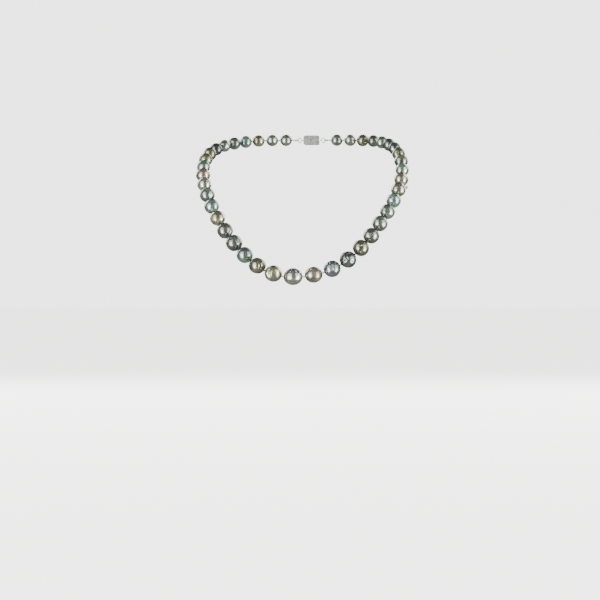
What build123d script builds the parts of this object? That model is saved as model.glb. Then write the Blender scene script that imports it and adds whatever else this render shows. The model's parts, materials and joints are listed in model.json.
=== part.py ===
from build123d import *

import os

# A graded strand of drilled black pearls on knotted silk, closed by a silver box clasp at the nape.
# It keeps the shape that it has on a neck. The origin is the middle of the neck, X runs to the
# viewer's right, Y to the back and Z up. The wearer's side of a piece is named by the viewer's left
# and right. All sizes are in millimetres.

# Pearls
pearls_per_side = 20
centre_pearl_diameter = 11.6
first_pearl_diameter = 10.7
last_pearl_diameter = 7.6
grading_power = 1.3  # above 1, the strand slims faster near its centre
drill_hole_diameter = 0.9

# Silk, with a knot in every gap
thread_diameter = 0.7
knot_diameter = 1.0
knot_clearance = 0.075  # from a knot to the pearl on each side of it

# Bullion loops: fine coiled wire that saves the end loops of silk from the jump rings
bullion_loop_radius = 1.15
bullion_diameter = 0.9
bullion_bore_diameter = 0.56
end_silk_diameter = 0.46
silk_stem_diameter = 0.6
stem_clearance = 0.05

# Jump rings and the soldered loops of the clasp
jump_ring_radius = 1.35
clasp_loop_radius = 1.0
ring_wire_diameter = 0.5
link_play = 0.05  # between two linked rings
loop_stand = 0.75  # from the centre of a soldered loop to the wall that it stands on

# Box clasp
casing_length = 8.6
clasp_height = 6.0
clasp_thickness = 3.2
clasp_corner_radius = 1.4
casing_wall = 0.4
cover_thickness = 0.4
cover_edge_radius = 0.25
mouth_gap = 0.15
end_plate_length = 1.1

# Tongue: a folded leaf of springy silver, its upper leaf lying as pressed, free to slide out
leaf_thickness = 0.35
leaf_width = 4.2
leaf_clearance = 0.25  # under the lower leaf
slot_clearance = 0.35  # at each edge of the leaves
fold_bore_radius = 0.1
tongue_reach = 6.2  # from the mouth to the fold
spring_leaf_thickness = 0.3
spring_leaf_rise = 3.0  # degrees
fold_gap = 0.1
lip_height = 0.75  # the wall over the slot, that the sprung leaf locks behind
lip_clearance = 0.15
neck_width = 1.5
neck_clearance = 0.2
thumb_tab_length = 0.5
thumb_tab_height = 1.2
thumb_tab_from_mouth = 0.45
recess_floor = -0.35  # height of the recess floor in the end plate

# Silver tag, linked round the knot outside of this pearl of the right side
tagged_pearl = 9
tag_ring_radius = 1.6
tag_wire_diameter = 0.4
tag_ring_offset = 0.7  # from the knot to the centre of the ring
tag_eye_radius = 0.5
tag_bead_diameter = 1.35
tag_bead_spacing = 1.25
tag_direction = Vector(0.9, 0.04, -0.43)  # outwards from the strand and a little down

# The lie of the strand on the neck, from the centre pearl up the right side, past the clasp, and
# down the left side. Its size follows from the length of the strand.
lie_points = [
    (-5.5, -59.5, -44),
    (26, -55, -34.5),
    (46.5, -38, -11.5),
    (60, -10, 15.5),
    (57, 22.5, 36),
    (38, 53, 42.5),
    (6, 62, 43),
    (-28, 60, 42.5),
    (-53, 37, 36.5),
    (-60.5, 2.5, 19),
    (-51, -27.5, -8),
    (-34.5, -46, -30.5),
]
nape_slack = 0.3  # what the curve of the nape adds to the straight length of the clasp and its links

# Lengths that follow
knot_gap = knot_diameter + 2 * knot_clearance
ring_wire_radius = ring_wire_diameter / 2
bullion_outer = bullion_loop_radius + bullion_diameter / 2
bullion_inner = bullion_loop_radius - bullion_diameter / 2
link_depth = clasp_loop_radius - 2 * ring_wire_radius - link_play
link_to_wall = link_depth + loop_stand
knot_to_bullion = 0.15
knot_to_near_link = (
    knot_diameter / 2 + knot_to_bullion + bullion_outer + bullion_inner - ring_wire_radius - link_play
)
knot_to_wall = knot_to_near_link + 2 * jump_ring_radius + link_to_wall
clasp_length = casing_length + mouth_gap + end_plate_length


def pearl_diameter(place):
    """The size of the pearl at this place, counted from the centre pearl."""
    if place == 0:
        return centre_pearl_diameter
    along = (place - 1) / (pearls_per_side - 1)
    return last_pearl_diameter + (first_pearl_diameter - last_pearl_diameter) * (1 - along) ** grading_power


def knot_distance(knot):
    """How far a knot lies along the strand from the middle of the centre pearl. Knot 1 is beside it."""
    lengths = [pearl_diameter(place) + knot_gap for place in range(1, knot)]
    return (centre_pearl_diameter + knot_gap) / 2 + sum(lengths)


last_knot = pearls_per_side + 1
strand_length = 2 * knot_distance(last_knot) + clasp_length + 2 * knot_to_wall + nape_slack

with BuildLine() as drawn_lie:
    Spline(*lie_points, periodic=True)
lie_scale = strand_length / drawn_lie.edge().length
with BuildLine() as lie:
    Spline(*[Vector(*point) * lie_scale for point in lie_points], periodic=True)
lie_edge = lie.edge()


def place_on_lie(distance):
    """The point at this distance along the lie, forwards to the right and backwards to the left."""
    return lie_edge.position_at((distance % strand_length) / strand_length)


knots = {
    "right": [place_on_lie(knot_distance(knot)) for knot in range(1, last_knot + 1)],
    "left": [place_on_lie(-knot_distance(knot)) for knot in range(1, last_knot + 1)],
}


def export_piece(piece, name):
    piece.part.label = name
    export_step(piece.part, f"parts/{name}.step")


os.makedirs("parts", exist_ok=True)


def string_pearl(name, diameter, inner, outer, knot_at_both_ends=False):
    """A pearl drilled along the line between two knots, with the silk in it and the knot at its outer end."""
    with BuildPart(Plane(origin=(inner + outer) / 2, z_dir=outer - inner)) as pearl:
        Sphere(diameter / 2)
        Cylinder(drill_hole_diameter / 2, diameter, mode=Mode.SUBTRACT)
        half_length = (outer - inner).length / 2
        start = -half_length if knot_at_both_ends else -half_length + knot_gap / 2
        with Locations((0, 0, start)):
            bottom = (Align.CENTER, Align.CENTER, Align.MIN)
            Cylinder(thread_diameter / 2, half_length - start, align=bottom)
        knot_places = [half_length, -half_length] if knot_at_both_ends else [half_length]
        with Locations(*[(0, 0, height) for height in knot_places]):
            Sphere(knot_diameter / 2)
    export_piece(pearl, name)


string_pearl("centre_pearl", centre_pearl_diameter, knots["left"][0], knots["right"][0], True)
for side, side_knots in knots.items():
    for place in range(1, pearls_per_side + 1):
        inner_knot, outer_knot = side_knots[place - 1], side_knots[place]
        string_pearl(f"pearl_{side}_{place:02d}", pearl_diameter(place), inner_knot, outer_knot)

# The clasp lies level at the nape. Its own x runs from the casing to the tongue, its y away from
# the neck and its z up, from the middle of the casing's mouth.
nape = (knots["left"][-1] + knots["right"][-1]) / 2
across = knots["right"][-1] - knots["left"][-1]
level = Vector(across.X, across.Y, 0).normalized()
mouth_from_middle = (casing_length - mouth_gap - end_plate_length) / 2
clasp_plane = Plane(origin=nape + level * mouth_from_middle, x_dir=level, z_dir=(0, 0, 1))
outward = clasp_plane.y_dir
inner_face = -clasp_thickness / 2
cavity_floor = inner_face + casing_wall
cavity_top = clasp_thickness / 2 - cover_thickness
plate_start = mouth_gap
plate_end = mouth_gap + end_plate_length


def clasp_face(height):
    """A plane level with the clasp's broad faces, at this distance outwards from its middle."""
    return Plane(origin=clasp_plane.origin + outward * height, x_dir=level, z_dir=outward)


def half_outline(height, start, end, round_end):
    """The clasp's outline between two lengths, with the two corners at one of them rounded."""
    square_end = start + end - round_end
    with BuildSketch(clasp_face(height)) as outline:
        with BuildLine():
            FilletPolyline(
                (square_end, -clasp_height / 2),
                (round_end, -clasp_height / 2),
                (round_end, clasp_height / 2),
                (square_end, clasp_height / 2),
                radius=min(clasp_corner_radius, 0.9 * (end - start)),
            )
            Line((square_end, clasp_height / 2), (square_end, -clasp_height / 2))
        make_face()
    return outline.sketch


# Casing: a cast box, open towards the cover, with a slot for the tongue and a notch for its neck
with BuildPart() as clasp_casing:
    extrude(half_outline(inner_face, -casing_length, 0, -casing_length), clasp_thickness - cover_thickness)
    with BuildSketch(clasp_face(cavity_floor)):
        with Locations((-casing_length / 2, 0)):
            RectangleRounded(
                casing_length - 2 * casing_wall,
                clasp_height - 2 * casing_wall,
                max(clasp_corner_radius - casing_wall, 0.1),
            )
    extrude(amount=clasp_thickness, mode=Mode.SUBTRACT)
    slot_width = leaf_width + 2 * slot_clearance
    slot_top = cavity_top - lip_height
    lower_leaf_bottom = cavity_floor + leaf_clearance
    slot_bottom = lower_leaf_bottom - leaf_clearance + 0.05
    slot_depth = casing_wall + max(clasp_corner_radius - casing_wall, 0.1)  # through the cavity's round corners too
    with BuildSketch(clasp_face(slot_bottom)):
        with Locations((0, 0)):
            Rectangle(2 * slot_depth, slot_width)
    extrude(amount=slot_top - slot_bottom, mode=Mode.SUBTRACT)
    with BuildSketch(clasp_face(slot_bottom)):
        with Locations((0, 0)):
            Rectangle(2.5 * casing_wall, neck_width + 2 * neck_clearance)
    extrude(amount=clasp_thickness, mode=Mode.SUBTRACT)
export_piece(clasp_casing, "clasp_casing")

# Cover: the face plate soldered over the casing
with BuildPart() as clasp_cover:
    extrude(half_outline(cavity_top, -casing_length, 0, -casing_length), cover_thickness)
    fillet(clasp_cover.faces().sort_by(Axis(clasp_plane.origin, outward))[-1].edges(), cover_edge_radius)
export_piece(clasp_cover, "clasp_cover")


def solder_loop(name, wall, away):
    """A ring of wire soldered on end to a wall of the clasp, away from it along its length."""
    centre = clasp_plane.from_local_coords((wall + away * loop_stand, 0, 0))
    with BuildPart(Plane(origin=centre, x_dir=level * away, z_dir=(0, 0, 1))) as loop:
        Torus(clasp_loop_radius, ring_wire_radius)
        with Locations((-loop_stand, 0, 0)):
            cut = 2 * clasp_loop_radius + ring_wire_diameter
            Box(cut, 2 * cut, cut, align=(Align.MAX, Align.CENTER, Align.CENTER), mode=Mode.SUBTRACT)
    export_piece(loop, name)
    return centre + level * away * link_depth


far_links = {
    "left": solder_loop("casing_loop", -casing_length, -1),
    "right": solder_loop("tongue_loop", plate_end, 1),
}

# End plate of the tongue, which closes the casing's mouth, with a recess for the thumb tab
with BuildPart() as tongue_end_plate:
    extrude(half_outline(inner_face, plate_start, plate_end, plate_end), clasp_thickness)
    with BuildSketch(clasp_face(recess_floor)):
        Rectangle(4 * plate_end, neck_width + 2 * neck_clearance)
    extrude(amount=clasp_thickness, mode=Mode.SUBTRACT)
export_piece(tongue_end_plate, "tongue_end_plate")

# Lower leaf of the tongue, soldered to the end plate and folded back at its far end
lower_leaf_top = lower_leaf_bottom + leaf_thickness
fold_centre = lower_leaf_top + fold_bore_radius
side_plane = Plane(origin=clasp_plane.origin, x_dir=level, z_dir=(0, 0, 1))
with BuildPart() as tongue_lower_leaf:
    with BuildSketch(side_plane.offset(-leaf_width / 2)):
        with Locations((plate_start, lower_leaf_bottom)):
            Rectangle(tongue_reach + plate_start, leaf_thickness, align=(Align.MAX, Align.MIN))
        with Locations((-tongue_reach, fold_centre)):
            Circle(fold_bore_radius + leaf_thickness)
            Circle(fold_bore_radius, mode=Mode.SUBTRACT)
            Rectangle(
                2 * leaf_thickness + 4 * fold_bore_radius,
                2 * leaf_thickness + 2 * fold_bore_radius,
                align=(Align.MIN, Align.MIN),
                mode=Mode.SUBTRACT,
            )
        with Locations((-tongue_reach, lower_leaf_bottom)):
            Rectangle(tongue_reach / 2, leaf_thickness, align=(Align.MIN, Align.MIN))
    extrude(amount=leaf_width)
export_piece(tongue_lower_leaf, "tongue_lower_leaf")

# Upper leaf, which springs about the fold, with a neck that reaches out through the notch
spring_axis = clasp_plane.from_local_coords(
    (-tongue_reach + fold_gap / 2, fold_centre + fold_bore_radius + leaf_thickness / 2, 0)
)
leaf_plane = Plane(origin=spring_axis, x_dir=level, z_dir=(0, 0, 1)).rotated((0, 0, spring_leaf_rise))
spring_leaf_length = tongue_reach - casing_wall - lip_clearance - fold_gap
neck_end = tongue_reach + thumb_tab_from_mouth + thumb_tab_length - fold_gap
with BuildPart(leaf_plane) as tongue_spring_leaf:
    across_leaf = (Align.MIN, Align.CENTER, Align.CENTER)
    with Locations((fold_gap / 2, 0, 0)):
        Box(spring_leaf_length, spring_leaf_thickness, leaf_width, align=across_leaf)
        Box(neck_end - fold_gap / 2, spring_leaf_thickness, neck_width, align=across_leaf)
export_piece(tongue_spring_leaf, "tongue_spring_leaf")

# Thumb tab, soldered on the end of the neck
with BuildPart(leaf_plane) as thumb_tab:
    with Locations((neck_end, spring_leaf_thickness / 2, 0)):
        on_neck = (Align.MAX, Align.MIN, Align.CENTER)
        Box(thumb_tab_length, thumb_tab_height, neck_width, align=on_neck)
    top_edges = thumb_tab.faces().sort_by(Axis(leaf_plane.origin, leaf_plane.y_dir))[-1].edges()
    fillet(top_edges, 0.35 * thumb_tab_length)
export_piece(thumb_tab, "thumb_tab")

# Links from each end of the strand to the clasp: a loop of silk in bullion wire, and a jump ring
near_links = {}
for side, side_knots in knots.items():
    end_knot = side_knots[-1]
    along = (far_links[side] - end_knot).normalized()
    far = (far_links[side] - end_knot).length
    near = far - 2 * jump_ring_radius
    near_links[side] = end_knot + along * near
    sideways = Vector(0, 0, 1).cross(along).normalized()
    with BuildPart(Plane(end_knot + along * (far + near) / 2, x_dir=along, z_dir=sideways)) as jump_ring:
        Torus(jump_ring_radius, ring_wire_radius)
    export_piece(jump_ring, f"jump_ring_{side}")

    loop_centre = near + ring_wire_radius + link_play - bullion_inner
    loop_plane = Plane(end_knot + along * loop_centre, x_dir=along, z_dir=along.cross(sideways))
    opening = silk_stem_diameter + 2 * stem_clearance
    with BuildPart(loop_plane) as bullion_loop:
        Torus(bullion_loop_radius, bullion_diameter / 2)
        Torus(bullion_loop_radius, bullion_bore_diameter / 2, mode=Mode.SUBTRACT)
        with Locations((-bullion_loop_radius, 0, 0)):
            Box(2 * bullion_diameter, opening, 2 * bullion_diameter, mode=Mode.SUBTRACT)
    export_piece(bullion_loop, f"bullion_loop_{side}")

    with BuildPart(loop_plane) as silk_loop:
        Torus(bullion_loop_radius, end_silk_diameter / 2)
        stem_start = -loop_centre + knot_diameter / 2 + stem_clearance
        with Locations(Location((stem_start, 0, 0), (0, 90, 0))):
            bottom = (Align.CENTER, Align.CENTER, Align.MIN)
            Cylinder(silk_stem_diameter / 2, -bullion_loop_radius - stem_start, align=bottom)
    export_piece(silk_loop, f"silk_loop_{side}")

# Tag: a ring round the silk at one knot, and three small beads on an eye that swings from it
tag_knot = knots["right"][tagged_pearl]
strand_direction = (knots["right"][tagged_pearl + 1] - knots["right"][tagged_pearl - 1]).normalized()
outwards = (tag_direction - strand_direction * tag_direction.dot(strand_direction)).normalized()
tag_wire_radius = tag_wire_diameter / 2
tag_ring_plane = Plane(tag_knot + outwards * tag_ring_offset, x_dir=outwards, z_dir=strand_direction)
with BuildPart(tag_ring_plane) as tag_ring:
    Torus(tag_ring_radius, tag_wire_radius)
export_piece(tag_ring, "tag_ring")

tag_link = tag_knot + outwards * (tag_ring_offset + tag_ring_radius)
eye_from_link = tag_eye_radius - tag_wire_diameter - link_play
tag_plane = Plane(
    tag_link + outwards * eye_from_link, x_dir=outwards, z_dir=strand_direction.cross(outwards)
)
with BuildPart(tag_plane) as silver_tag:
    Torus(tag_eye_radius, tag_wire_radius)
    first_bead = tag_eye_radius + 0.4 * tag_bead_diameter
    second_bead = first_bead + 0.87 * tag_bead_spacing
    bead_places = [(first_bead, 0, 0)]
    bead_places += [(second_bead, half * tag_bead_spacing / 2, 0) for half in (-1, 1)]
    with Locations(*bead_places):
        Sphere(tag_bead_diameter / 2)
export_piece(silver_tag, "silver_tag")
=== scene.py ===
import json
import math
import random
import bpy
import numpy as np
from mathutils import Matrix, Vector

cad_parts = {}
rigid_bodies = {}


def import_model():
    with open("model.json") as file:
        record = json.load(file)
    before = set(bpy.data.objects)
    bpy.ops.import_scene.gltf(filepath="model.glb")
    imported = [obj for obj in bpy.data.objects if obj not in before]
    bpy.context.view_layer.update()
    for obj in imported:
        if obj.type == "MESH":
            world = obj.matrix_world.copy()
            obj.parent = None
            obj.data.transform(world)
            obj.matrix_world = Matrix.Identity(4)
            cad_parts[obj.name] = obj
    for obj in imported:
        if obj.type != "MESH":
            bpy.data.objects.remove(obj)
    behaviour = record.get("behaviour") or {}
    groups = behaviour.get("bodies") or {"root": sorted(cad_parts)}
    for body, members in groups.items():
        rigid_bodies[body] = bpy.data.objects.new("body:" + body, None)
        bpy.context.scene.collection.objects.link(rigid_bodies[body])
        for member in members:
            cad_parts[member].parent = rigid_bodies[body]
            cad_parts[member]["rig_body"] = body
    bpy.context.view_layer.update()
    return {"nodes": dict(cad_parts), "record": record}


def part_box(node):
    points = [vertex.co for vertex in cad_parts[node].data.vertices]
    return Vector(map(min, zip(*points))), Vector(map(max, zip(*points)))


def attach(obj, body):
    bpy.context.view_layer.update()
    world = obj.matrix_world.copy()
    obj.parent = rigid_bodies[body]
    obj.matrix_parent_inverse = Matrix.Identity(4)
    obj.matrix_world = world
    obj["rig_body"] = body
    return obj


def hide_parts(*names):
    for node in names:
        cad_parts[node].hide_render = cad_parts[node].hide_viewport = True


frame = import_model()


# The silk. A doubled, twisted silk thread, dyed dark, runs through every pearl, and a plain knot
# is tied after each one, so that no pearl rubs the next. The knots are small round balls in
# which the thread is seen to go round three times.
THREAD = 0.0007
KNOT = 0.0010
KNOT_CLEARANCE = 0.000075
body_of = {n: o["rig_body"] for n, o in frame["nodes"].items()}
slot_of = {s["node"]: s["material_slot"] for s in frame["record"]["subparts"]}


def srgb(code):
    """The linear colour of an sRGB hex value."""
    parts = [int(code[i:i + 2], 16) / 255 for i in (1, 3, 5)]
    return (*[p / 12.92 if p <= 0.04045 else ((p + 0.055) / 1.055) ** 2.4 for p in parts], 1)


def add_node(tree, kind, inputs={}, **settings):
    """Adds one node. Settings are its own properties; inputs give each socket a value or a link."""
    node = tree.nodes.new(kind)
    for name, value in settings.items():
        setattr(node, name, value)
    for name, value in inputs.items():
        if isinstance(value, bpy.types.NodeSocket):
            tree.links.new(value, node.inputs[name])
        else:
            node.inputs[name].default_value = value
    return node


def bare_material(name):
    """A material with only its output node, and its node tree."""
    material = bpy.data.materials.new(name)
    material.use_nodes = True
    tree = material.node_tree
    tree.nodes.clear()
    return material, tree, add_node(tree, "ShaderNodeOutputMaterial")


def only(piece):
    """Selects this object and nothing else."""
    bpy.ops.object.select_all(action="DESELECT")
    piece.select_set(True)
    bpy.context.view_layer.objects.active = piece


def settle(piece, place):
    """Puts the piece in its place, and its place in its mesh."""
    piece.matrix_world = place
    only(piece)
    bpy.ops.object.transform_apply(location=True, rotation=True, scale=True)


def copy_of(piece, name):
    """A copy of a piece with its own mesh."""
    twin = piece.copy()
    twin.data = piece.data.copy()
    twin.name = twin.data.name = name
    bpy.context.scene.collection.objects.link(twin)
    return twin


# Dyed silk, twisted from fine filaments: near-black, with the soft shine that filaments give
# along the twist, and ridges of the two plies 0.35 mm apart.
silk, tree, out = bare_material("twisted_dark_silk")
place = add_node(tree, "ShaderNodeTexCoord")
strands = add_node(tree, "ShaderNodeTexNoise", {
    "Vector": place.outputs["Object"], "Scale": 9000.0, "Detail": 3.0})
shade = add_node(tree, "ShaderNodeValToRGB", {"Fac": strands.outputs["Fac"]})
shade.color_ramp.elements[0].position, shade.color_ramp.elements[0].color = 0.3, srgb("#1d2020")
shade.color_ramp.elements[1].position, shade.color_ramp.elements[1].color = 0.75, srgb("#363a38")
plies = add_node(tree, "ShaderNodeTexWave", {
    "Vector": place.outputs["Object"], "Scale": 900.0, "Distortion": 2.0,
    "Detail": 2.0}, bands_direction="DIAGONAL")
ridge = add_node(tree, "ShaderNodeBump", {
    "Height": plies.outputs["Fac"], "Strength": 0.5, "Distance": 0.00006})
body = add_node(tree, "ShaderNodeBsdfPrincipled", {
    "Base Color": shade.outputs["Color"], "Roughness": 0.55, "Sheen Weight": 0.5, "Sheen Roughness": 0.35,
    "Normal": ridge.outputs["Normal"]})
tree.links.new(body.outputs["BSDF"], out.inputs["Surface"])


def knot_ball():
    """One tied knot about the origin, the thread along Z: three turns of thread pulled tight."""
    turns = []
    for tilt, turn in ((18, 0), (-38, 75), (62, 150)):
        bpy.ops.mesh.primitive_torus_add(
            major_radius=KNOT * 0.27, minor_radius=KNOT * 0.205, major_segments=22, minor_segments=10,
            rotation=(math.radians(tilt), 0, math.radians(turn)))
        turns.append(bpy.context.object)
    bpy.ops.object.select_all(action="DESELECT")
    for t in turns:
        t.select_set(True)
    bpy.ops.object.join()
    bpy.ops.object.transform_apply(location=True, rotation=True, scale=True)
    return bpy.context.object


def along(start, end):
    """The turn that lays Z along the line from start to end."""
    return (end - start).to_track_quat("Z", "Y").to_matrix().to_4x4()


def ball_of(node):
    """The centre and radius of the ball in a pearl's CAD node, fitted to its skin, and the knots outside it."""
    co = np.array([v.co for v in frame["nodes"][node].data.vertices], float)
    centre = (co.min(0) + co.max(0)) / 2
    radius = np.median(np.linalg.norm(co - centre, axis=1))
    for share in (0.2, 0.1, 0.05, 0.02, 0.01, 0.005, 0.005):
        skin = co[abs(np.linalg.norm(co - centre, axis=1) - radius) < share * radius]
        fit = np.linalg.lstsq(np.c_[2 * skin, np.ones(len(skin))], (skin ** 2).sum(1), rcond=None)[0]
        centre, radius = fit[:3], math.sqrt(fit[3] + fit[:3] @ fit[:3])
    far = co[np.linalg.norm(co - centre, axis=1) > radius + KNOT_CLEARANCE * 1.05]
    knots = []
    for side in (-1, 1):
        lump = far[(far - centre) @ (far[0] - centre) * side < 0]
        if len(lump):
            knots.append(Vector((lump.min(0) + lump.max(0)) / 2))
    return Vector(centre), radius, knots


def arm_places(side, first_knot_place):
    """(node, knot before, centre, knot after, radius) of each pearl of one arm, from the centre outwards."""
    before, found = first_knot_place, []
    for n in range(1, 21):
        node = f"pearl_{side}_{n:02d}"
        centre, radius, (after,) = ball_of(node)
        found.append((node, before, centre, after, radius))
        before = after
    return found


middle, middle_radius, middle_knots = ball_of("centre_pearl")
left_knot, right_knot = sorted(middle_knots, key=lambda k: k.x)
places = [("centre_pearl", left_knot, middle, right_knot, middle_radius)]
places += arm_places("right", right_knot) + arm_places("left", left_knot)

bpy.ops.object.select_all(action="DESELECT")
first_knot = knot_ball()
first_knot.name = "first_knot"
for node, before, centre, after, radius in places:
    bpy.ops.object.select_all(action="DESELECT")
    length = (after - before).length - KNOT * 0.9
    bpy.ops.mesh.primitive_cylinder_add(
        vertices=12, radius=THREAD * 0.46, depth=length, end_fill_type="NGON")
    thread = bpy.context.object
    bpy.ops.object.mode_set(mode="EDIT")
    bpy.ops.mesh.select_mode(type="FACE")
    bpy.ops.mesh.select_all(action="SELECT")
    bpy.ops.mesh.bevel(offset=THREAD * 0.08, segments=2, affect="EDGES")
    bpy.ops.object.mode_set(mode="OBJECT")
    settle(thread, Matrix.Translation((before + after) / 2) @ along(before, after))
    ends = [after] + ([before] if node == "centre_pearl" else [])
    tied = []
    for end in ends:
        k = copy_of(first_knot, "knot")
        settle(k, Matrix.Translation(end) @ along(before, after))
        tied.append(k)
    only(thread)
    for k in tied:
        k.select_set(True)
    bpy.ops.object.join()
    thread.name = thread.data.name = node.replace("pearl", "silk")
    bpy.ops.object.shade_smooth()
    thread.data.materials.clear()
    thread.data.materials.append(silk)
    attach(thread, body_of[node])
bpy.data.objects.remove(first_knot)


# The pearls. Forty-one black-lipped oyster pearls, near-round, drilled through and graded from
# 11.6 mm at the front to 7.6 mm at the clasp. Each grew by itself, so each is a little out of
# round, and many carry pits, dimples, creases or a ring left by the oyster.
DRILL = 0.0009
MODEL_RADIUS = 0.005


def round_pearl():
    """A drilled pearl of 10 mm about the origin, with its drill hole along Z."""
    bpy.ops.object.select_all(action="DESELECT")
    bpy.ops.mesh.primitive_uv_sphere_add(segments=112, ring_count=76, radius=MODEL_RADIUS)
    pearl = bpy.context.object
    for end in (1, -1):
        bpy.ops.object.mode_set(mode="EDIT")
        bpy.ops.mesh.select_mode(type="FACE")
        bpy.ops.mesh.select_all(action="DESELECT")
        bpy.ops.object.mode_set(mode="OBJECT")
        for face in pearl.data.polygons:
            c = face.center
            face.select = c.z * end > 0 and math.hypot(c.x, c.y) < DRILL * 0.5
        bpy.ops.object.mode_set(mode="EDIT")
        # the drill's mouth: a small chamfer, then the bore
        bpy.ops.mesh.extrude_region_move(TRANSFORM_OT_translate={"value": (0, 0, -0.00008 * end)})
        bpy.ops.transform.resize(value=(0.84, 0.84, 1))
        bpy.ops.mesh.extrude_region_move(TRANSFORM_OT_translate={"value": (0, 0, -0.0012 * end)})
        bpy.ops.object.mode_set(mode="OBJECT")
    return pearl


def press(pearl, spots, width, depth):
    """Presses a pearl's skin in at one direction, or in a crease along several, fading out over the width."""
    way = [Vector(spot).normalized() for spot in spots]
    way = [a.lerp(b, step / 12) for a, b in zip(way, way[1:]) for step in range(12)] + way[-1:]
    bpy.ops.object.mode_set(mode="EDIT")
    bpy.ops.mesh.select_mode(type="VERT")
    bpy.ops.mesh.select_all(action="DESELECT")
    bpy.ops.object.mode_set(mode="OBJECT")
    co = np.empty(len(pearl.data.vertices) * 3)
    pearl.data.vertices.foreach_get("co", co)
    co = co.reshape(-1, 3)
    away = co / np.linalg.norm(co, axis=1)[:, None]
    for spot in way:
        nearest = int(np.argmax(away @ np.array(spot.normalized())))
        pearl.data.vertices[nearest].select = True
    bpy.ops.object.mode_set(mode="EDIT")
    bpy.ops.transform.shrink_fatten(
        value=-depth, use_proportional_edit=True, proportional_edit_falloff="SMOOTH",
        proportional_size=width)
    bpy.ops.object.mode_set(mode="OBJECT")


# Nacre of black-lipped oysters: thin layers over a dark body, so the shine is nearly metallic,
# coloured by the layers, under a clear glossy skin. Broad patches of two overtones are 7 mm
# across, clouds 1 mm, and the skin rolls every 2.5 mm. The real pits of 0.1 mm are too fine to show
# and are left to the roughness.
NACRE = {
    "pearl_silver": ("#9da196", "#e2ebd4", "#cbc9bc"),
    "pearl_green": ("#858f83", "#c4d8bf", "#b2b9b0"),
    "pearl_olive": ("#7b7b6a", "#bbbb97", "#9da08e"),
    "pearl_aqua": ("#889690", "#bedccf", "#b3beb7"),
    "pearl_rose": ("#8b887e", "#dbc9b1", "#c0c4b7"),
    "pearl_peacock": ("#79827e", "#aecdb4", "#a4a4ad"),
    "pearl_champagne": ("#92907e", "#ded8b0", "#bcb9a9"),
    "pearl_grey": ("#797c74", "#b4baa9", "#9a9f96"),
    "pearl_slate": ("#666a68", "#99a4a0", "#859086"),
}
nacre = {}
for turn, (slot, (deep, light, other)) in enumerate(NACRE.items()):
    material, tree, out = bare_material(slot.replace("pearl", "nacre"))
    where = add_node(tree, "ShaderNodeTexCoord")
    turned = add_node(tree, "ShaderNodeMapping", {
        "Vector": where.outputs["Object"], "Rotation": (0.4 * turn, 0.9 * turn, 0.2),
        "Location": (0.013 * turn, 0, 0)})
    spread = add_node(tree, "ShaderNodeTexNoise", {
        "Vector": turned.outputs["Vector"], "Scale": 150.0, "Detail": 1.5, "Distortion": 0.6})
    overtones = add_node(tree, "ShaderNodeValToRGB", {"Fac": spread.outputs["Fac"]})
    ramp = overtones.color_ramp
    ramp.elements[0].position, ramp.elements[0].color = 0.36, srgb(other)
    ramp.elements[1].position, ramp.elements[1].color = 0.62, srgb(light)
    ramp.elements.new(0.49).color = srgb(deep)
    clouds = add_node(tree, "ShaderNodeTexNoise", {
        "Vector": turned.outputs["Vector"], "Scale": 1000.0, "Detail": 3.0})
    clouding = add_node(tree, "ShaderNodeMapRange", {
        "Value": clouds.outputs["Fac"], "From Min": 0.3, "From Max": 0.7, "To Min": 0.0, "To Max": 0.45})
    clouded = add_node(tree, "ShaderNodeMix", {
        0: clouding.outputs["Result"], 6: overtones.outputs["Color"], 7: srgb(deep)}, data_type="RGBA")
    waves = add_node(tree, "ShaderNodeTexNoise", {
        "Vector": turned.outputs["Vector"], "Scale": 420.0, "Detail": 1.0})
    gloss = add_node(tree, "ShaderNodeMapRange", {
        "Value": clouds.outputs["Fac"], "From Min": 0.3, "From Max": 0.7, "To Min": 0.17, "To Max": 0.28})
    rolling = add_node(tree, "ShaderNodeBump", {
        "Height": waves.outputs["Fac"], "Strength": 0.2, "Distance": 0.0003})
    body = add_node(tree, "ShaderNodeBsdfPrincipled", {
        "Base Color": clouded.outputs[2], "Metallic": 0.95, "Roughness": gloss.outputs["Result"],
        "Specular Tint": srgb("#3a3e38"), "Coat Weight": 0.12, "Coat Roughness": 0.08, "Coat IOR": 1.53,
        "Normal": rolling.outputs["Normal"]})
    tree.links.new(body.outputs["BSDF"], out.inputs["Surface"])
    nacre[slot] = material

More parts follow.
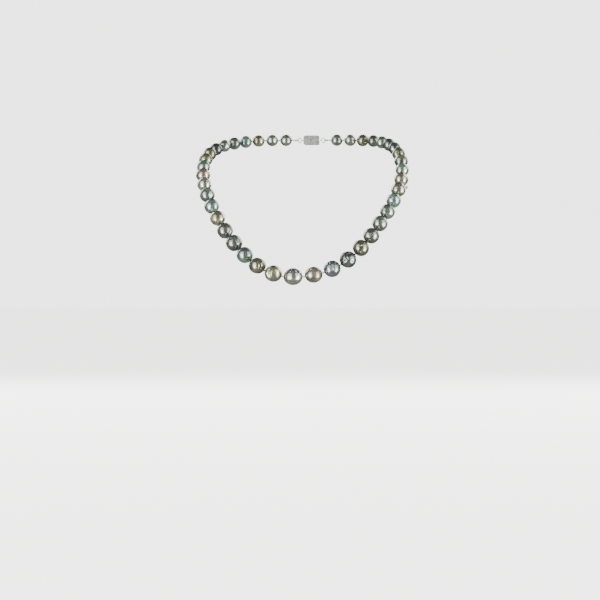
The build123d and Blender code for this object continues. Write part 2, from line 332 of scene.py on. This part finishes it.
# What the oyster left on the pearls that are seen best: (width of the mark, depth, directions).
# -Y is the front, Z is up. Every pearl also has a few dents of its own, mostly shallow.
MARKS = {
    "centre_pearl": [
        (0.0021, 0.00045, [(-0.42, -0.66, 0.62)]), (0.0021, 0.00045, [(0.46, -0.64, 0.62)]),
        (0.0024, 0.0007, [(0.0, -0.45, 0.89)]), (0.0012, 0.0002, [(0.03, -0.9, 0.43)])],
    "pearl_left_01": [
        (0.0007, 0.00034, [
            (-0.20, -0.85, 0.50), (-0.33, -0.88, 0.28), (-0.40, -0.9, 0.05), (-0.36, -0.9, -0.15),
            (-0.44, -0.85, -0.32)]),
        (0.0007, 0.00030, [(-0.48, -0.8, 0.42), (-0.60, -0.78, 0.2), (-0.64, -0.76, 0.0), (-0.56, -0.8, -0.22)]),
        (0.0018, 0.0004, [(-0.66, -0.4, 0.64)])],
    "pearl_left_02": [
        (0.0008, 0.00026, [(0.1, -0.9, 0.4), (0.25, -0.9, 0.2), (0.3, -0.9, 0.0), (0.22, -0.9, -0.25)]),
        (0.0016, 0.0003, [(-0.3, -0.7, 0.65)])],
    "pearl_left_03": [
        (0.0010, 0.00030, [(0.0, -0.65, 0.76)]), (0.0008, 0.0002, [(0.08, -0.95, 0.2), (0.1, -0.98, -0.1)])],
    "pearl_left_04": [
        (0.0008, 0.00024, [(0.1, -0.8, 0.5), (0.3, -0.9, 0.3), (0.5, -0.85, 0.1)]),
        (0.0012, 0.0003, [(0.2, -0.6, 0.75)]), (0.0012, 0.0003, [(-0.4, -0.7, 0.5)])],
    "pearl_right_01": [
        (0.0012, 0.00045, [(-0.45, -0.62, 0.64)]), (0.0010, 0.00018, [(0.05, -0.8, 0.6), (0.02, -1.0, 0.2)])],
    "pearl_right_02": [
        (0.0010, 0.00038, [(-0.4, -0.6, 0.69)]), (0.0010, 0.00038, [(-0.03, -0.65, 0.75)]),
        (0.0009, 0.0003, [(0.4, -0.65, 0.64)]),
        (0.0006, 0.00028, [(0.02, -0.85, 0.5), (0.06, -0.95, 0.28), (0.0, -1.0, 0.05), (0.1, -0.97, -0.15)])],
    "pearl_right_03": [
        (0.0007, 0.0004, [(-0.15, -0.75, 0.65), (-0.28, -0.9, 0.35), (-0.12, -0.97, 0.1)]),
        (0.0011, 0.00045, [(-0.35, -0.9, -0.1)]),
        (0.0011, 0.0004, [(0.3, -0.6, 0.75)]), (0.0009, 0.0003, [(0.45, -0.8, -0.2)])],
    "pearl_right_04": [
        (0.0009, 0.00045, [(0.1, -0.95, 0.27)]),
        (0.0007, 0.0003, [(-0.05, -0.8, 0.6), (0.2, -0.75, 0.63), (0.42, -0.75, 0.5)]),
        (0.0012, 0.0003, [(-0.1, -0.9, -0.4)])],
    "pearl_right_05": [
        (0.0010, 0.0003, [(-0.1, -0.7, 0.7)]), (0.0008, 0.00025, [(-0.05, -0.95, 0.3), (0.0, -1.0, 0.0)])],
}
UNEVENNESS = 0.055  # of the radius
OWN_DENTS = 4
# The largest pearls are a little flatter than they are wide.
HEIGHT = {"centre_pearl": 0.90, "pearl_left_01": 0.95, "pearl_right_01": 0.94, "pearl_left_02": 0.95}

chance = random.Random(41)
model_pearl = round_pearl()
for count, (node, before, centre, after, radius) in enumerate(places):
    pearl = copy_of(model_pearl, node.replace("pearl", "nacre"))
    spin = Matrix.Rotation(2.4 * count, 4, "Z")  # no two show the same side
    oval = Matrix.Diagonal((1 - 0.02 * (count % 3), 1 - 0.015 * (count % 4), 1.0, 1.0))
    settle(
        pearl,
        Matrix.Translation(centre) @ along(before, after) @ spin @ oval @ Matrix.Scale(radius / MODEL_RADIUS, 4))
    settle(pearl, Matrix.Diagonal((1, 1, HEIGHT.get(node, 1.0), 1)) @ Matrix.Translation(-centre))
    for mark_width, mark_depth, spots in MARKS.get(node, []):
        press(pearl, spots, mark_width, mark_depth)
    for _ in range(OWN_DENTS):
        spot = (chance.uniform(-1, 1), chance.uniform(-1, 1), chance.uniform(-1, 1))
        press(pearl, [spot], radius * chance.uniform(0.16, 0.42), radius * chance.uniform(0.02, 0.06))
    settle(pearl, Matrix.Translation(centre))
    swell = bpy.data.textures.new(f"growth_{count}", "CLOUDS")
    swell.noise_scale = radius * (0.9 + 0.3 * (count % 3))
    swell.noise_depth = 1
    grown = pearl.modifiers.new("uneven_growth", "DISPLACE")
    grown.texture, grown.texture_coords = swell, "GLOBAL"
    grown.mid_level, grown.strength = 1.0, radius * UNEVENNESS
    only(pearl)
    bpy.ops.object.modifier_apply(modifier=grown.name)
    bpy.ops.object.shade_smooth()
    pearl.data.materials.clear()
    pearl.data.materials.append(nacre[slot_of[node]])
    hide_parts(node)
    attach(pearl, body_of[node])
bpy.data.objects.remove(model_pearl)


# The silver. Bullion, jump rings, box clasp and tag are sterling silver, polished and then worn
# by the skin: bright, with fine scratches and a slightly warm grey in the hollows.
silver, tree, out = bare_material("worn_polished_silver")
where = add_node(tree, "ShaderNodeTexCoord")
tarnish = add_node(tree, "ShaderNodeTexNoise", {
    "Vector": where.outputs["Object"], "Scale": 420.0, "Detail": 5.0})
tone = add_node(tree, "ShaderNodeValToRGB", {"Fac": tarnish.outputs["Fac"]})
tone.color_ramp.elements[0].position, tone.color_ramp.elements[0].color = 0.3, srgb("#d6d4cd")
tone.color_ramp.elements[1].position, tone.color_ramp.elements[1].color = 0.65, srgb("#f0efec")
wear = add_node(tree, "ShaderNodeMapRange", {
    "Value": tarnish.outputs["Fac"], "From Min": 0.3, "From Max": 0.7, "To Min": 0.34, "To Max": 0.2})
stretched = add_node(tree, "ShaderNodeMapping", {
    "Vector": where.outputs["Object"], "Scale": (1.0, 1.0, 9.0), "Rotation": (0.3, 0.5, 0.2)})
scratches = add_node(tree, "ShaderNodeTexNoise", {
    "Vector": stretched.outputs["Vector"], "Scale": 1500.0, "Detail": 5.0})
scored = add_node(tree, "ShaderNodeBump", {
    "Height": scratches.outputs["Fac"], "Strength": 0.05, "Distance": 0.00002})
body = add_node(tree, "ShaderNodeBsdfPrincipled", {
    "Base Color": tone.outputs["Color"], "Metallic": 1.0, "Roughness": wear.outputs["Result"],
    "Normal": scored.outputs["Normal"]})
tree.links.new(body.outputs["BSDF"], out.inputs["Surface"])
for node in ("clasp_casing", "clasp_cover", "casing_loop", "tongue_end_plate", "tongue_lower_leaf", "tongue_loop",
             "tongue_spring_leaf", "thumb_tab", "jump_ring_left", "jump_ring_right", "tag_ring", "silver_tag"):
    piece = frame["nodes"][node]
    piece.data.materials.clear()
    piece.data.materials.append(silver)
for node in ("silk_loop_left", "silk_loop_right"):
    piece = frame["nodes"][node]
    piece.data.materials.clear()
    piece.data.materials.append(silk)


# The bullion. Each end loop of the silk is covered with bullion, a fine silver wire wound into a
# close spring, so that the jump ring can't saw through the silk.
LOOP_RADIUS = 0.00115
BULLION = 0.0009
WIRE = 0.00013


def lie_of_ring(node):
    """The middle of a ring-shaped CAD node, and the turn from a ring that lies flat about Z."""
    co = np.array([v.co for v in frame["nodes"][node].data.vertices])
    low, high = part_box(node)
    about = Vector((low + high) / 2)
    spread_of = np.linalg.eigh(np.cov((co - co.mean(0)).T))[1]
    return about, Vector(spread_of[:, 0]).to_track_quat("Z", "Y").to_matrix().to_4x4()


for side in ("left", "right"):
    bpy.ops.object.select_all(action="DESELECT")
    bpy.ops.mesh.primitive_torus_add(
        major_radius=(BULLION - WIRE) / 2, minor_radius=WIRE / 2, major_segments=20, minor_segments=8,
        location=(LOOP_RADIUS, 0, 0), rotation=(math.pi / 2 - 0.06, 0, 0))
    coil = bpy.context.object
    bpy.ops.object.transform_apply(location=True, rotation=True, scale=True)
    bpy.ops.object.mode_set(mode="EDIT")
    bpy.ops.mesh.select_all(action="SELECT")
    bpy.ops.mesh.spin(steps=46, dupli=True, angle=2 * math.pi * 46 / 47, center=(0, 0, 0), axis=(0, 0, 1))
    bpy.ops.mesh.select_all(action="SELECT")
    bpy.ops.mesh.normals_make_consistent(inside=False)
    bpy.ops.object.mode_set(mode="OBJECT")
    about, lie = lie_of_ring(f"bullion_loop_{side}")
    settle(coil, Matrix.Translation(about) @ lie)
    coil.name = coil.data.name = f"bullion_coil_{side}"
    bpy.ops.object.shade_smooth()
    coil.data.materials.clear()
    coil.data.materials.append(silver)
    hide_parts(f"bullion_loop_{side}")
    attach(coil, body_of[f"pearl_{side}_20"])


# The floor. A broad pale matt sheet below the strand, which stands clear of it as on a neck. It glows
# a little, so that it stays as pale as the room all the way back.
bpy.ops.object.select_all(action="DESELECT")
bpy.ops.mesh.primitive_plane_add(size=60, location=(0, 2, -0.15))
floor = bpy.context.object
floor.name = "floor"
bpy.ops.object.transform_apply(location=True, rotation=True, scale=True)
pale, tree, out = bare_material("pale_matt_sheet")
body = add_node(tree, "ShaderNodeBsdfPrincipled", {
    "Base Color": srgb("#f6f5f3"), "Roughness": 0.85, "Emission Color": srgb("#f6f6f4"), "Emission Strength": 3.2})
tree.links.new(body.outputs["BSDF"], out.inputs["Surface"])
floor.data.materials.append(pale)
floor.visible_glossy = floor.visible_shadow = False

# The light. The room is pale to the eye and dim in the pearls. A tall soft panel stands each side
# in front, brightest low down, and one each side behind gives the thin bright rims.
world = bpy.data.worlds.new("pale_room")
bpy.context.scene.world = world
world.use_nodes = True
tree = world.node_tree
tree.nodes.clear()
ray = add_node(tree, "ShaderNodeLightPath")
seen = add_node(tree, "ShaderNodeBackground", {"Color": srgb("#f6f6f5"), "Strength": 3.7})
felt = add_node(tree, "ShaderNodeBackground", {"Color": srgb("#8d9090"), "Strength": 0.75})
both = add_node(tree, "ShaderNodeMixShader", {
    0: ray.outputs["Is Camera Ray"], 1: felt.outputs["Background"], 2: seen.outputs["Background"]})
add_node(tree, "ShaderNodeOutputWorld", {"Surface": both.outputs["Shader"]})


def panel(name, at, across, up, brightness):
    """A soft light panel at a place, facing the strand, with its brightness for each square metre."""
    data = bpy.data.lights.new(name, "AREA")
    data.shape, data.size, data.size_y, data.energy = "RECTANGLE", across, up, brightness * across * up
    lamp = bpy.data.objects.new(name, data)
    bpy.context.scene.collection.objects.link(lamp)
    lamp.location = at
    lamp.rotation_euler = (Vector((0, 0, -0.02)) - Vector(at)).to_track_quat("-Z", "Y").to_euler()
    lamp.visible_camera = False


panel("left_panel", (-1.20, -1.15, 0.10), 1.5, 2.6, 9)
panel("left_core", (-1.00, -1.10, -0.35), 0.55, 1.2, 36)
panel("right_panel", (1.45, -0.75, 0.10), 1.5, 2.6, 9)
panel("right_core", (1.28, -0.76, -0.35), 0.55, 1.2, 36)
panel("rear_left", (-0.90, 1.15, 0.65), 1.2, 1.2, 24)
panel("rear_right", (0.90, 1.15, 0.65), 1.2, 1.2, 24)

# The view: level, straight on, from nearly two metres.
lens = bpy.data.cameras.new("view")
lens.angle = 2 * math.atan(0.17605 / 1.8)
lens.clip_end = 40
camera = bpy.data.objects.new("view", lens)
bpy.context.scene.collection.objects.link(camera)
camera.location = (-0.001355, -1.860, -0.05716)
camera.rotation_euler = (math.pi / 2, 0, 0)
bpy.context.scene.camera = camera
